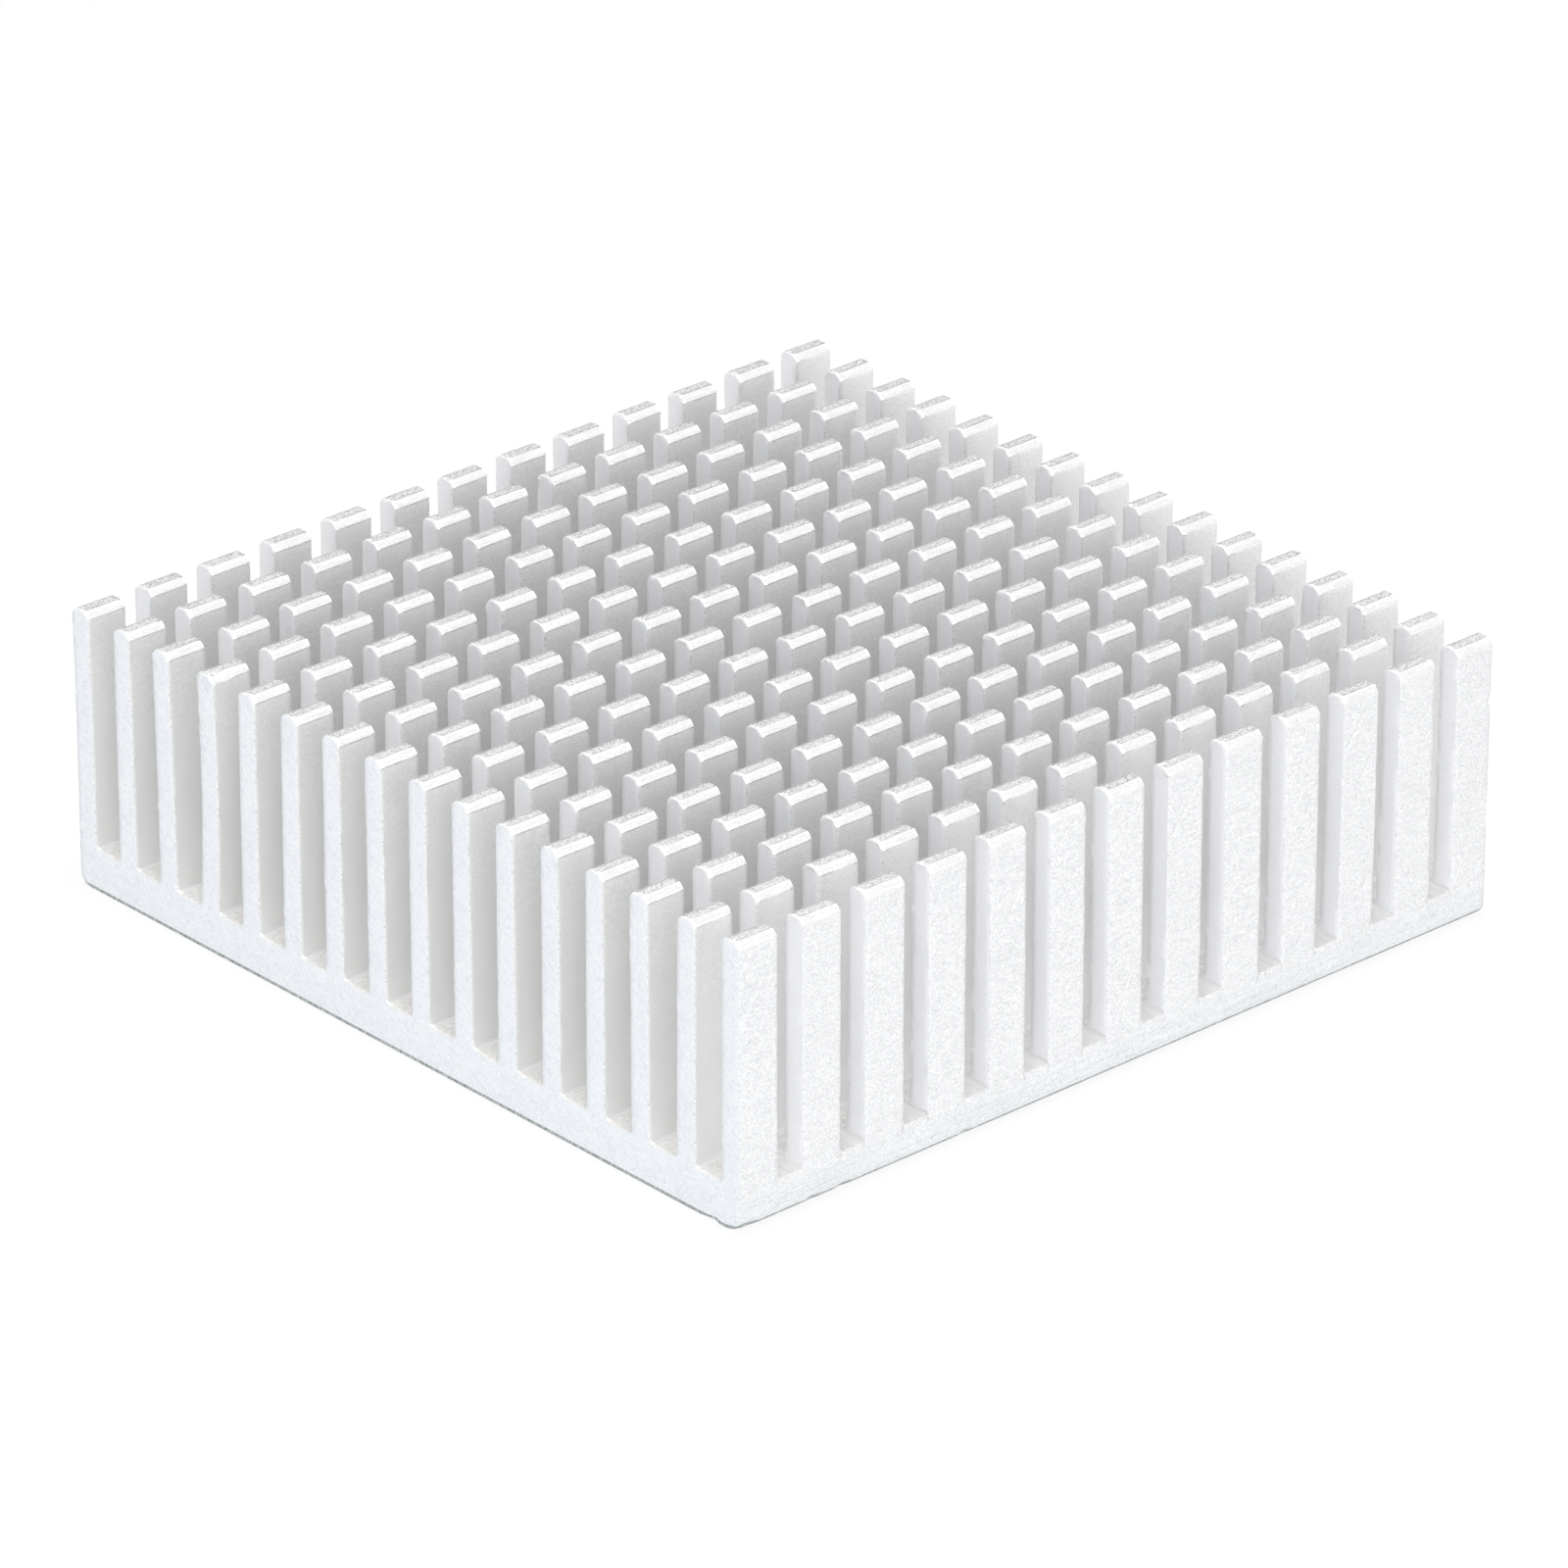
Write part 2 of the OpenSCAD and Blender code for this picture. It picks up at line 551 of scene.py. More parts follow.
@dataclass(frozen=True)
class MetalFinish:
    """Bare aluminium as one process leaves it: its tone, its gloss and the relief in its skin; part of the
    tone is painted shade and light, said where it is given.

    Relief is given as (feature size, depth), and mottle as the weights of clouds, lines and grit in the
    colour. A rim or span holds the noise values between which a mark begins or the gloss changes.
    """

    name: str
    color: tuple[float, float, float]
    shade: tuple[float, float, float]
    roughness: tuple[float, float]
    metal_share: float
    grain: Grain
    line: tuple[float, float]
    line_length: float
    grit: tuple[float, float]
    mottle: tuple[float, float, float] = (0.3, 0.3, 0.4)
    contrast: float = 0.16
    balance: float = 0.5
    pit: tuple[float, float] = (0.35, 0.0)
    pit_rim: tuple[float, float] = (0.3, 0.4)
    scratch_depth: float = 0.0
    scratch_spacing: float = 0.5
    scratch_turn: tuple[float, float, float] = (0.5, 0.9, 0.4)
    scratch_squeeze: float = 0.06
    scratch_rim: tuple[float, float] = (0.7, 0.76)
    cloud_size: float = 3.0
    grit_from: float = 0.0
    grit_fade: float = 5.0
    grit_left: float = 0.15
    gloss_span: tuple[float, float] = (0.3, 0.7)

    def build(self) -> bpy.types.Material:
        """Makes the material.

        Returns:
            Metal with its colour and gloss from mottle, and its relief from lines, grit, pits and scratches.
        """
        sketch = NodeSketch(self.name)
        place = sketch.add("ShaderNodeTexCoord").outputs["Object"]
        turn = tuple(math.radians(angle) for angle in self.grain.value)
        along = sketch.stretched(place, turn, self.line[0] / self.line_length)
        lines = sketch.noise(along, self.line[0], detail=3.0, rough=0.65)
        grit = sketch.noise(place, self.grit[0], detail=2.0, rough=0.6)
        if self.grit_from:
            grit = self._faded(sketch, place, grit)
        clouds = sketch.noise(place, self.cloud_size, detail=3.0, rough=0.55)
        relief = {"Height": self._relief(sketch, place, lines, grit), "Distance": MM, "Strength": 1.0}
        shader = sketch.add(
            "ShaderNodeBsdfPrincipled",
            {
                "Base Color": self._tone(sketch, clouds, lines, grit),
                "Metallic": self.metal_share,
                "Roughness": sketch.remap(lines, *self.gloss_span, *self.roughness),
                "Normal": sketch.add("ShaderNodeBump", relief).outputs["Normal"],
            },
        )
        sketch.add("ShaderNodeOutputMaterial", {"Surface": shader.outputs["BSDF"]})
        return sketch.material

    def _relief(self, sketch: NodeSketch, place: Socket, lines: Socket, grit: Socket) -> Socket:
        """Height of the metal's skin, in millimetres.

        Args:
            sketch: The material's nodes.
            place: Places on the part.
            lines: Noise of the fine lines.
            grit: Noise of the grit.

        Returns:
            Lines and grit, with pits and scratches where the finish has them.
        """
        height = self._weighted(sketch, (lines, grit), (self.line[1], self.grit[1]))
        if self.pit[1]:
            spots = sketch.noise(place, self.pit[0], detail=1.0)
            height = sketch.math("ADD", height, sketch.remap(spots, *self.pit_rim, 0.0, self.pit[1]))
        if self.scratch_depth:
            height = sketch.math("ADD", height, self._scratches(sketch, place))
        return height

    def _tone(self, sketch: NodeSketch, clouds: Socket, lines: Socket, grit: Socket) -> Socket:
        """Colour that wanders between the finish's two tones, partly at random and partly as painted shade in
        the low spots of the relief.

        Args:
            sketch: The material's nodes.
            clouds: Noise of the broad patches.
            lines: Noise of the fine lines.
            grit: Noise of the grit.

        Returns:
            The colour.
        """
        # The same lines and grit raise the relief, so the darker tone sits in its low spots: painted shade in
        # pits and grooves.
        tone = self._weighted(sketch, (clouds, lines, grit), self.mottle)
        middle = self.balance * sum(self.mottle)
        fade = sketch.remap(tone, middle - self.contrast, middle + self.contrast, 0.0, 1.0)
        inputs = {"Factor": fade, "A": (*self.shade, 1.0), "B": (*self.color, 1.0)}
        return sketch.add("ShaderNodeMix", inputs, data_type="RGBA").outputs["Result"]

    def _faded(self, sketch: NodeSketch, place: Socket, grit: Socket) -> Socket:
        """Lets grit die away to a smooth wall lower down a fin.

        Args:
            sketch: The material's nodes.
            place: Places on the part.
            grit: Noise of the grit.

        Returns:
            The grit, at full strength only near the tips.
        """
        rise = sketch.add("ShaderNodeSeparateXYZ", {"Vector": place}).outputs["Z"]
        low, high = self.grit_from * MM, (self.grit_from + self.grit_fade) * MM
        share = sketch.remap(rise, low, high, self.grit_left, 1.0)
        centred = sketch.math("MULTIPLY", sketch.math("SUBTRACT", grit, 0.5), share)
        return sketch.math("ADD", centred, 0.5)

    @staticmethod
    def _weighted(sketch: NodeSketch, sockets: tuple[Socket, ...], weights: tuple[float, ...]) -> Socket:
        """Adds several noises up.

        Args:
            sketch: The material's nodes.
            sockets: The noises.
            weights: What each one counts.

        Returns:
            The sum of each noise times its weight.
        """
        total = sketch.math("MULTIPLY", sockets[0], weights[0])
        for socket, weight in zip(sockets[1:], weights[1:]):
            total = sketch.math("ADD", total, sketch.math("MULTIPLY", socket, weight))
        return total

    def _scratches(self, sketch: NodeSketch, place: Socket) -> Socket:
        """Sparse handling scratches.

        Args:
            sketch: The material's nodes.
            place: Places on the part.

        Returns:
            A sunken relief, in millimetres.
        """
        squeezed = sketch.stretched(place, self.scratch_turn, self.scratch_squeeze)
        marks = sketch.noise(squeezed, self.scratch_spacing, detail=0.0)
        return sketch.remap(marks, *self.scratch_rim, 0.0, -self.scratch_depth)


FINISHES = {
    Surface.WALL: MetalFinish(
        name="drawn_outer_wall",
        color=(0.965, 0.968, 0.975),
        shade=(0.72, 0.727, 0.742),
        roughness=(0.28, 0.42),
        metal_share=0.6,
        grain=Grain.ALONG_FIN,
        line=(0.12, 0.012),
        line_length=1.2,
        grit=(0.13, 0.025),
        mottle=(0.08, 0.27, 0.65),
        contrast=0.12,
        balance=0.48,
        pit=(0.28, 0.025),
        scratch_depth=0.018,
    ),
    Surface.SLOT: MetalFinish(
        name="drawn_slot_wall",
        color=(0.965, 0.963, 0.958),
        # The shade tone is paler than the outer wall's: painted light that makes up for the light lost deep
        # in the slots.
        shade=(0.84, 0.838, 0.832),
        roughness=(0.28, 0.36),
        metal_share=0.3,
        grain=Grain.ALONG_FIN,
        line=(0.12, 0.0015),
        line_length=8.0,
        grit=(0.16, 0.02),
        mottle=(0.15, 0.05, 0.8),
        grit_from=11.0,
    ),
    Surface.SAWN: MetalFinish(
        name="sawn_end",
        # Both tones lean blue: a painted reflection of cool light on the sawn ends.
        color=(0.96, 0.98, 1.0),
        shade=(0.795, 0.83, 0.885),
        roughness=(0.3, 0.46),
        metal_share=0.5,
        grain=Grain.SAW_SWEEP,
        line=(0.12, 0.022),
        line_length=1.1,
        grit=(0.14, 0.025),
        mottle=(0.1, 0.45, 0.45),
        contrast=0.12,
        pit=(0.35, 0.03),
    ),
    Surface.CUT: MetalFinish(
        name="sawn_cut",
        # Both tones are far paler than the outer sawn end's: painted light that makes up for the light lost
        # deep in the cuts.
        color=(0.99, 0.99, 1.0),
        shade=(0.93, 0.933, 0.95),
        roughness=(0.3, 0.38),
        metal_share=0.1,
        grain=Grain.SAW_SWEEP,
        line=(0.12, 0.004),
        line_length=0.9,
        grit=(0.16, 0.02),
        mottle=(0.2, 0.1, 0.7),
        contrast=0.12,
    ),
    # The crest's dark tone is painted shade in its pits and a painted darker reflection on its flat top, over
    # its torn relief.
    Surface.CREST: MetalFinish(
        name="torn_crest_painted_shade",
        color=(0.99, 0.99, 0.985),
        shade=(0.46, 0.455, 0.45),
        roughness=(0.28, 0.45),
        metal_share=0.5,
        grain=Grain.ALONG_FIN,
        line=(0.14, 0.03),
        line_length=0.3,
        grit=(0.15, 0.07),
        mottle=(0.05, 0.2, 0.75),
        contrast=0.1,
        balance=0.45,
    ),
    Surface.SHOULDER: MetalFinish(
        name="rolled_shoulder",
        color=(0.98, 0.98, 0.98),
        shade=(0.82, 0.82, 0.825),
        roughness=(0.2, 0.3),
        metal_share=0.78,
        grain=Grain.ALONG_FIN,
        line=(0.1, 0.008),
        line_length=1.2,
        grit=(0.16, 0.008),
        mottle=(0.1, 0.45, 0.45),
        contrast=0.13,
    ),
    Surface.ROOT: MetalFinish(
        name="slot_floor",
        color=(0.99, 0.98, 0.965),
        shade=(0.78, 0.77, 0.75),
        roughness=(0.34, 0.5),
        metal_share=0.3,
        grain=Grain.ALONG_FIN,
        line=(0.12, 0.01),
        line_length=0.6,
        grit=(0.2, 0.04),
        mottle=(0.1, 0.3, 0.6),
        contrast=0.12,
    ),
    Surface.KERF: MetalFinish(
        name="cut_floor",
        color=(0.97, 0.97, 0.97),
        shade=(0.8, 0.8, 0.8),
        roughness=(0.3, 0.45),
        metal_share=0.4,
        grain=Grain.ACROSS_FIN,
        line=(0.12, 0.025),
        line_length=4.0,
        grit=(0.2, 0.012),
        mottle=(0.1, 0.7, 0.2),
    ),
    Surface.UNDERSIDE: MetalFinish(
        name="underside",
        color=(0.92, 0.925, 0.93),
        shade=(0.78, 0.79, 0.8),
        roughness=(0.3, 0.45),
        metal_share=0.7,
        grain=Grain.ALONG_FIN,
        line=(0.12, 0.015),
        line_length=12.0,
        grit=(0.2, 0.01),
        mottle=(0.3, 0.5, 0.2),
        pit=(0.5, 0.015),
        scratch_depth=0.015,
        cloud_size=9.0,
    ),
    Surface.BURR: MetalFinish(
        name="burred_edge",
        color=(0.93, 0.935, 0.945),
        shade=(0.7, 0.705, 0.72),
        roughness=(0.25, 0.4),
        metal_share=0.4,
        grain=Grain.SAW_SWEEP,
        line=(0.12, 0.02),
        line_length=0.6,
        grit=(0.2, 0.025),
        mottle=(0.0, 0.3, 0.7),
        contrast=0.11,
        balance=0.44,
    ),
    # Dark tone along the base's bottom edge: painted shade and dark reflection where the rounding turns to
    # the floor, with real chips.
    Surface.FOOT: MetalFinish(
        name="chipped_foot_painted_shade",
        color=(0.7, 0.73, 0.735),
        shade=(0.22, 0.245, 0.245),
        roughness=(0.45, 0.6),
        metal_share=0.2,
        grain=Grain.ALONG_FIN,
        line=(0.2, 0.03),
        line_length=1.2,
        grit=(0.25, 0.05),
        mottle=(0.1, 0.4, 0.5),
        contrast=0.12,
        balance=0.52,
    ),
    Surface.BASE_SIDE: MetalFinish(
        name="brushed_base_side",
        color=(0.97, 0.982, 0.995),
        shade=(0.72, 0.735, 0.757),
        roughness=(0.25, 0.4),
        metal_share=0.6,
        grain=Grain.ALONG_FIN,
        line=(0.1, 0.01),
        line_length=7.0,
        grit=(0.14, 0.025),
        mottle=(0.08, 0.42, 0.5),
        contrast=0.13,
        pit=(0.3, 0.03),
    ),
}


# --- the part -------------------------------------------------------------------------------------


@dataclass
class HeatSinkBody:
    """The one solid piece: a base plate with 208 pins left by sawing across extruded fins."""

    section: Section
    cuts: SawCuts
    wear: Wear
    outer_rows: int = 37
    inner_rows: tuple[float, ...] = (0.3, 0.62, 0.86, 0.96)
    inner_burr: float = 0.4
    foot_strips: int = 3
    end_foot_strips: int = 2
    sharp_angle: float = 50.0
    tolerance: float = 1e-6
    sketch: MeshSketch = field(default_factory=MeshSketch)

    def wall_steps(self, fin: int, pin: int) -> np.ndarray:
        """Chooses the mesh rows up a pin's wall, close together on pins that show their whole height.

        Args:
            fin: Number of the fin.
            pin: Number of the pin along it.

        Returns:
            Places of the rows, from 0 at the root fillet to 1 at the tip rounding.
        """
        if fin == 0 or pin == 0:
            return np.linspace(0, 1, self.outer_rows)[1:-1]
        return np.array(self.inner_rows)

    def build(self) -> bpy.types.Object:
        """Lays the clean mesh out, wears it and dresses it.

        Returns:
            The finished object, which stands for the solid.
        """
        for pin in range(self.cuts.pin_count):
            self._add_row(pin)
        for pin in range(self.cuts.pin_count - 1):
            self._add_trough(pin)
        for side in (-1, 1):
            self._add_base_side(side)
            self._add_base_end(side)
        points, burr, quads, surfaces, outline = self.sketch.weld(self._underside_loop())
        worn = self.wear.apply(points, burr, self.section, self.cuts)
        return self._to_object(worn, quads, surfaces, outline)

    def _add_row(self, pin: int) -> None:
        """Adds one row of pins across the blank, with the slot floors between them.

        Args:
            pin: Number of the row, from 0 at the low end of X.
        """
        places, insets = self.cuts.stations(pin)
        burr = np.zeros(len(places))
        burr[[0, -1]], burr[[1, -2]] = 1.0, self.inner_burr
        last_foot = None
        for fin in range(self.section.fin_count):
            steps = self.wall_steps(fin, pin)
            layers = [self.section.fin_grid(fin, steps, inset) for inset in insets]
            solid = np.stack([self._at_x(layer, x) for layer, x in zip(layers, places)])
            self._add_flank(solid[:, :, 0], burr, fin == 0)
            self._add_flank(solid[:, :, -1], burr, fin == self.section.fin_count - 1)
            crest = np.full((len(places) - 1, self.section.fin_columns), int(Surface.CREST))
            crest[[0, -1]] = Surface.BURR
            self.sketch.add_grid(solid[:, -1], crest, burr[:, None])
            rim = np.zeros(solid.shape[1:3])
            rim[:, [0, -1]], rim[-1] = 1.0, 1.0
            for end, outermost in ((0, pin == 0), (-1, pin == self.cuts.pin_count - 1)):
                self.sketch.add_grid(solid[end], Surface.SAWN if outermost else Surface.CUT, rim)
            if last_foot is not None:
                share = np.linspace(0, 1, self.section.floor_columns + 1)[None, :, None]
                floor = last_foot[:, None] * (1 - share) + solid[:, 0, 0][:, None] * share
                self.sketch.add_grid(floor, Surface.ROOT)
            last_foot = solid[:, 0, -1]

    def _add_flank(self, points: np.ndarray, burr: np.ndarray, outer: bool) -> None:
        """Adds one side of a pin, with the rounding of its tip.

        Args:
            points: Places as stations by levels by 3.
            burr: How strongly the saw roughened each station, from 0 to 1.
            outer: Whether this side is an outer face of the blank.
        """
        stations, levels, _ = points.shape
        surface = np.full((stations - 1, levels - 1), int(Surface.WALL if outer else Surface.SLOT))
        surface[:, 1 - len(self.section.tip_turns) :] = Surface.SHOULDER
        surface[[0, -1]] = Surface.BURR
        self.sketch.add_grid(points, surface, burr[:, None])

    def _add_trough(self, pin: int) -> None:
        """Adds the floor of the cut behind a row of pins and the bit of base side under it.

        Args:
            pin: Number of the row before the cut.
        """
        profile = self.cuts.trough(pin, self.section.base_t)
        insets = np.zeros(len(profile))
        insets[[0, -1]] = self.cuts.edge_break
        rows = [self.section.plan_row(inset) for inset in insets]
        grid = np.stack([self._line(x, row, z) for (x, z), row in zip(profile, rows)])
        self.sketch.add_grid(grid, Surface.KERF)
        half, waist_z = self.section.width / 2, np.full(len(profile), self.section.waist)
        for side, column in ((-1, 0), (1, -1)):
            waist = np.column_stack((profile[:, 0], np.full(len(profile), side * half), waist_z))
            self.sketch.add_grid(np.stack((waist, grid[:, column])), Surface.WALL)

    def _all_stations(self) -> tuple[np.ndarray, np.ndarray]:
        """Gathers the mesh lines along X on the base's long sides.

        Returns:
            The X of each line, and how far the section is drawn in there.
        """
        places: list[float] = []
        for pin in range(self.cuts.pin_count):
            places += self.cuts.stations(pin)[0].tolist()
            if pin < self.cuts.pin_count - 1:
                places += self.cuts.trough(pin, self.section.base_t)[1:-1, 0].tolist()
        insets = np.zeros(len(places))
        insets[[0, -1]] = self.cuts.edge_break
        return np.array(places), insets

    def _add_base_side(self, side: int) -> None:
        """Adds a long side of the base up to its slot floors, rounded at the bottom.

        Args:
            side: -1 or 1, which of the two long sides.
        """
        places, insets = self._all_stations()
        layers = []
        for x, inset in zip(places, insets):
            away, rise = self.section.base_rows(inset).T
            layers.append(np.column_stack((np.full(len(away), x), side * away, rise)))
        grid = np.stack(layers)
        surface = np.full((len(places) - 1, grid.shape[1] - 1), int(Surface.BASE_SIDE))
        # The lowest strips take the dark foot finish: painted shade along the bottom edge, with chips.
        surface[:, : self.foot_strips] = Surface.FOOT
        self.sketch.add_grid(grid, surface)
        column = 0 if side < 0 else -1
        half = self.section.width / 2
        for pin in range(self.cuts.pin_count):
            stations, drawn = self.cuts.stations(pin)
            extreme = np.abs(stations) > self.cuts.length / 2 - self.tolerance
            waist_half = np.where(extreme, half - self.cuts.edge_break, half)
            waist = np.column_stack((stations, side * waist_half, np.full(len(stations), self.section.waist)))
            feet = np.array([self.section.plan_row(inset)[column] for inset in drawn])
            top = np.column_stack((stations, feet, self.section.base_t - drawn))
            self.sketch.add_grid(np.stack((waist, top)), Surface.WALL)

    def _add_base_end(self, side: int) -> None:
        """Adds a sawn end of the base, below the pins.

        Args:
            side: -1 or 1, which of the two ends.
        """
        drawn = self.cuts.edge_break
        x = side * self.cuts.length / 2
        full = self.section.plan_row(0.0) / (self.section.width / 2)
        rows = [self._line(x, full * half, rise) for half, rise in self.section.base_rows(drawn)]
        rows.append(self._line(x, self.section.plan_row(drawn), self.section.base_t - drawn))
        surface = np.full((len(rows) - 1, len(full) - 1), int(Surface.SAWN))
        # The bottom strips and the broken edge below them take the dark foot finish: painted shade along the
        # bottom edge, with chips.
        surface[: self.end_foot_strips] = Surface.FOOT
        self.sketch.add_grid(np.stack(rows), surface)
        half, rise = self.section.base_rows(0.0)[0]
        inner = self._line(x - side * drawn, full * half, rise)
        self.sketch.add_grid(np.stack((inner, rows[0])), Surface.FOOT)

    def _underside_loop(self) -> np.ndarray:
        """Goes once round the flat underside.

        Returns:
            The outline's places.
        """
        places = self._all_stations()[0][1:-1]
        half = self.section.base_rows(0.0)[0, 0]
        across = self.section.plan_row(0.0) / (self.section.width / 2) * half
        front = np.column_stack((places, np.full(len(places), -half), np.zeros(len(places))))
        right = self._line(places[-1], across, 0.0)
        back = front[::-1] * (1, -1, 1)
        left = self._line(places[0], across[::-1], 0.0)
        return np.vstack((front[:-1], right[:-1], back[:-1], left[:-1]))

    def _to_object(
        self, points: np.ndarray, quads: np.ndarray, surfaces: np.ndarray, outline: np.ndarray
    ) -> bpy.types.Object:
        """Turns the worn mesh into an object with smooth shading between its sharp edges.

        Args:
            points: Worn places in millimetres.
            quads: Faces as point numbers.
            surfaces: The finish of each face.
            outline: The flat underside as point numbers.

        Returns:
            The object, which stands for the solid and moves with its body.
        """
        mesh = bpy.data.meshes.new(PIECE_NAME)
        mesh.from_pydata((points * MM).tolist(), [], [*quads.tolist(), outline.tolist()])
        for surface in Surface:
            mesh.materials.append(FINISHES[surface].build())
        finishes = np.append(surfaces, int(Surface.UNDERSIDE)).astype(np.int32)
        mesh.polygons.foreach_set("material_index", finishes)
        shape = bmesh.new()
        shape.from_mesh(mesh)
        bmesh.ops.recalc_face_normals(shape, faces=shape.faces)
        shape.to_mesh(mesh)
        shape.free()
        mesh.shade_smooth()
        mesh.set_sharp_from_angle(angle=math.radians(self.sharp_angle))
        mesh.validate()
        body = bpy.data.objects.new(PIECE_NAME, mesh)
        bpy.context.scene.collection.objects.link(body)
        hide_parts(NODE)
        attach(body, "root")
        return body

    @staticmethod
    def _at_x(layer: np.ndarray, x: float) -> np.ndarray:
        """A section's (y, z) grid placed at one X."""
        return np.concatenate((np.full((*layer.shape[:2], 1), x), layer), axis=-1)

    @staticmethod
    def _line(x: float, row: np.ndarray, z: float) -> np.ndarray:
        """A line of points across the blank at one X and one height."""
        return np.column_stack((np.full(len(row), x), row, np.full(len(row), z)))


# --- studio ---------------------------------------------------------------------------------------


def square_mesh(name: str, size: float) -> bpy.types.Mesh:
    """Makes a flat square that faces up.

    Args:
        name: Name of the mesh.
        size: Length of a side, in metres.

    Returns:
        The mesh.
    """
    mesh = bpy.data.meshes.new(name)
    half = size / 2
    corners = [(-half, -half, 0), (half, -half, 0), (half, half, 0), (-half, half, 0)]
    mesh.from_pydata(corners, [], [(0, 1, 2, 3)])
    return mesh


@dataclass(frozen=True)
class Softbox:
    """A square lamp aimed at the middle of the part; its glow is measured against white."""

    name: str
    direction: tuple[float, float, float]
    distance: float
    size: float
    glow: float
    color: tuple[float, float, float] = (1.0, 1.0, 1.0)

    def build(self, aim: Vector) -> bpy.types.Object:
        """Adds the lamp.

        Args:
            aim: The place that it lights.

        Returns:
            The lamp.
        """
        data = bpy.data.lights.new(self.name, "AREA")
        data.shape = "SQUARE"
        data.size = self.size
        data.energy = self.glow * math.pi * self.size**2
        data.color = self.color
        lamp = bpy.data.objects.new(self.name, data)
        toward = Vector(self.direction).normalized()
        lamp.location = aim + toward * self.distance
        lamp.rotation_euler = toward.to_track_quat("Z", "Y").to_euler()
        lamp.visible_camera = False
        bpy.context.scene.collection.objects.link(lamp)
        return lamp


@dataclass(frozen=True)
class Flag:
    """A grey card that gives polished metal something darker to show."""

    name: str
    direction: tuple[float, float, float]
    distance: float
    size: float
    grey: float

    def build(self, aim: Vector) -> bpy.types.Object:
        """Adds the card where the camera doesn't see it.

        Args:
            aim: The place that it faces.

        Returns:
            The card.
        """
        mesh = square_mesh(self.name, self.size)
        sketch = NodeSketch(f"{self.name}_paper")
        paper = sketch.add("ShaderNodeBsdfDiffuse", {"Color": (*[self.grey] * 3, 1.0)})
        sketch.add("ShaderNodeOutputMaterial", {"Surface": paper.outputs[0]})
        mesh.materials.append(sketch.material)
        card = bpy.data.objects.new(self.name, mesh)
        toward = Vector(self.direction).normalized()
        card.location = aim + toward * self.distance
        card.rotation_euler = toward.to_track_quat("Z", "Y").to_euler()
        card.visible_camera = False
        bpy.context.scene.collection.objects.link(card)
        return card


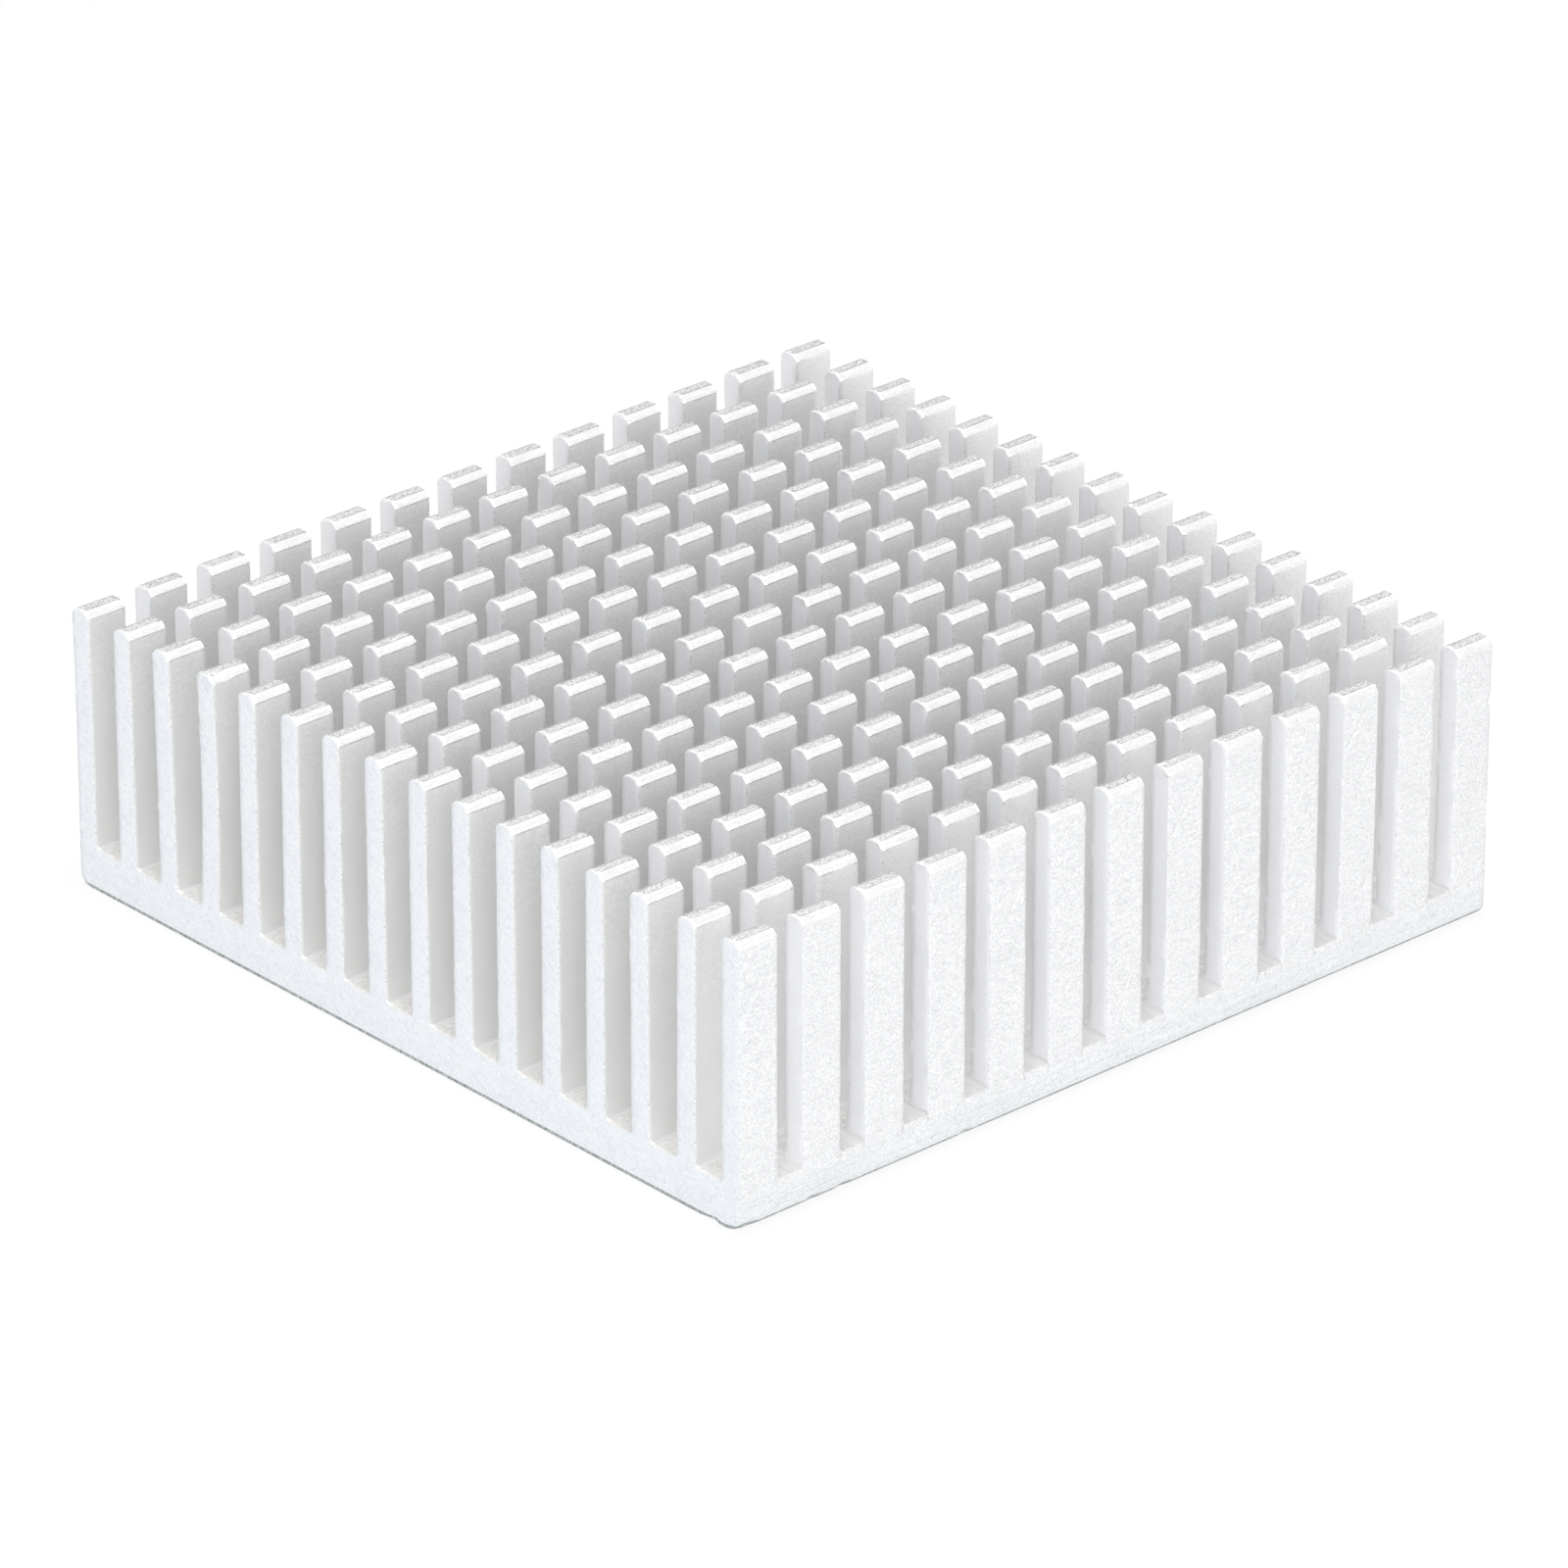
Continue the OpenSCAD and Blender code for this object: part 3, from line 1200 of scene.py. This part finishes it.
@dataclass(frozen=True)
class Studio:
    """White sweep, soft lamps and a long lens; distances in metres."""

    floor_size: float = 6.0
    floor_grey: float = 0.96
    shadow_share: float = 0.1
    camera_place: tuple[float, float, float] = (-0.36029, -0.40066, 0.27203)
    camera_turn: tuple[float, float, float] = (63.871, 0.018, -41.998)
    lens_mm: float = 229.343
    sensor_mm: float = 36.0
    clip: tuple[float, float] = (0.01, 20.0)
    world_strength: float = 0.5
    softboxes: tuple[Softbox, ...] = (
        Softbox("front_softbox", (0.12, -0.95, 0.25), 0.42, 0.28, 1.0),
        Softbox("corner_softbox", (-0.62, -0.69, 0.4), 0.35, 0.22, 1.75, (0.95, 0.975, 1.0)),
        Softbox("top_softbox", (0.0, 0.0, 1.0), 0.6, 0.3, 7.0),
        Softbox("back_softbox", (-0.7, 0.45, 0.55), 0.6, 0.3, 0.4, (0.92, 0.96, 1.0)),
        Softbox("right_softbox", (0.93, 0.1, 0.35), 0.5, 0.25, 1.2, (0.94, 0.97, 1.0)),
    )
    flag: Flag = Flag("back_flag", (0.6, 0.67, 0.44), 0.9, 0.6, 0.4)

    def build(self, aim: Vector) -> None:
        """Sets the whole studio up round the part.

        Args:
            aim: The middle of the part.
        """
        self._world()
        self._floor()
        for softbox in self.softboxes:
            softbox.build(aim)
        self.flag.build(aim)
        self._camera()
        bpy.context.scene.view_settings.view_transform = "Standard"

    def _background_ray(self, tree: bpy.types.NodeTree) -> Socket:
        """Tells the rays that see plain white from those that carry light.

        Args:
            tree: The nodes to add to.

        Returns:
            1 for camera, mirror and glass rays, and 0 for the rest.
        """
        path = tree.nodes.new("ShaderNodeLightPath")
        first = tree.nodes.new("ShaderNodeMath")
        first.operation = "MAXIMUM"
        tree.links.new(path.outputs["Is Camera Ray"], first.inputs[0])
        tree.links.new(path.outputs["Is Glossy Ray"], first.inputs[1])
        both = tree.nodes.new("ShaderNodeMath")
        both.operation = "MAXIMUM"
        tree.links.new(first.outputs[0], both.inputs[0])
        tree.links.new(path.outputs["Is Transmission Ray"], both.inputs[1])
        return both.outputs[0]

    def _world(self) -> None:
        """White surroundings for the camera and for reflections, a little softer as light."""
        world = bpy.data.worlds.new("white_room")
        world.use_nodes = True
        tree = world.node_tree
        share = self._background_ray(tree)
        strength = tree.nodes.new("ShaderNodeMapRange")
        tree.links.new(share, strength.inputs["Value"])
        strength.inputs["To Min"].default_value = self.world_strength
        strength.inputs["To Max"].default_value = 1.0
        tree.nodes["Background"].inputs["Color"].default_value = (1.0, 1.0, 1.0, 1.0)
        tree.links.new(strength.outputs["Result"], tree.nodes["Background"].inputs["Strength"])
        bpy.context.scene.world = world

    def _floor(self) -> None:
        """White floor that still takes the part's soft shadow."""
        mesh = square_mesh("studio_floor", self.floor_size)
        sketch = NodeSketch("floor_paint")
        paint = sketch.add("ShaderNodeBsdfDiffuse", {"Color": (*[self.floor_grey] * 3, 1.0)})
        white = sketch.add("ShaderNodeEmission", {"Color": (1.0, 1.0, 1.0, 1.0), "Strength": 1.0})
        share = sketch.math("MULTIPLY", self._background_ray(sketch.tree), 1 - self.shadow_share)
        mixed = sketch.add("ShaderNodeMixShader", {0: share, 1: paint.outputs[0], 2: white.outputs[0]})
        sketch.add("ShaderNodeOutputMaterial", {"Surface": mixed.outputs[0]})
        mesh.materials.append(sketch.material)
        floor = bpy.data.objects.new("studio_floor", mesh)
        bpy.context.scene.collection.objects.link(floor)

    def _camera(self) -> None:
        """Long lens from above the corner between a sawn end and a long side."""
        data = bpy.data.cameras.new("studio_camera")
        data.lens = self.lens_mm
        data.sensor_width = self.sensor_mm
        data.clip_start, data.clip_end = self.clip
        camera = bpy.data.objects.new("studio_camera", data)
        camera.location = self.camera_place
        camera.rotation_euler = Euler([math.radians(angle) for angle in self.camera_turn], "XYZ")
        bpy.context.scene.collection.objects.link(camera)
        bpy.context.scene.camera = camera


def main() -> None:
    """Builds the part and the studio."""
    logging.basicConfig(level=logging.INFO, format="%(name)s: %(message)s")
    low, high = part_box(NODE)
    size = (high - low) / MM
    section = Section(width=size.y, height=size.z)
    cuts = SawCuts(length=size.x)
    body = HeatSinkBody(section, cuts, Wear()).build()
    LOG.info("%s: %d points, %d faces", body.name, len(body.data.vertices), len(body.data.polygons))
    Studio().build((low + high) / 2)
    LOG.info("studio: floor, lamps and camera")
    bpy.context.view_layer.update()


if __name__ == "__main__":
    main()
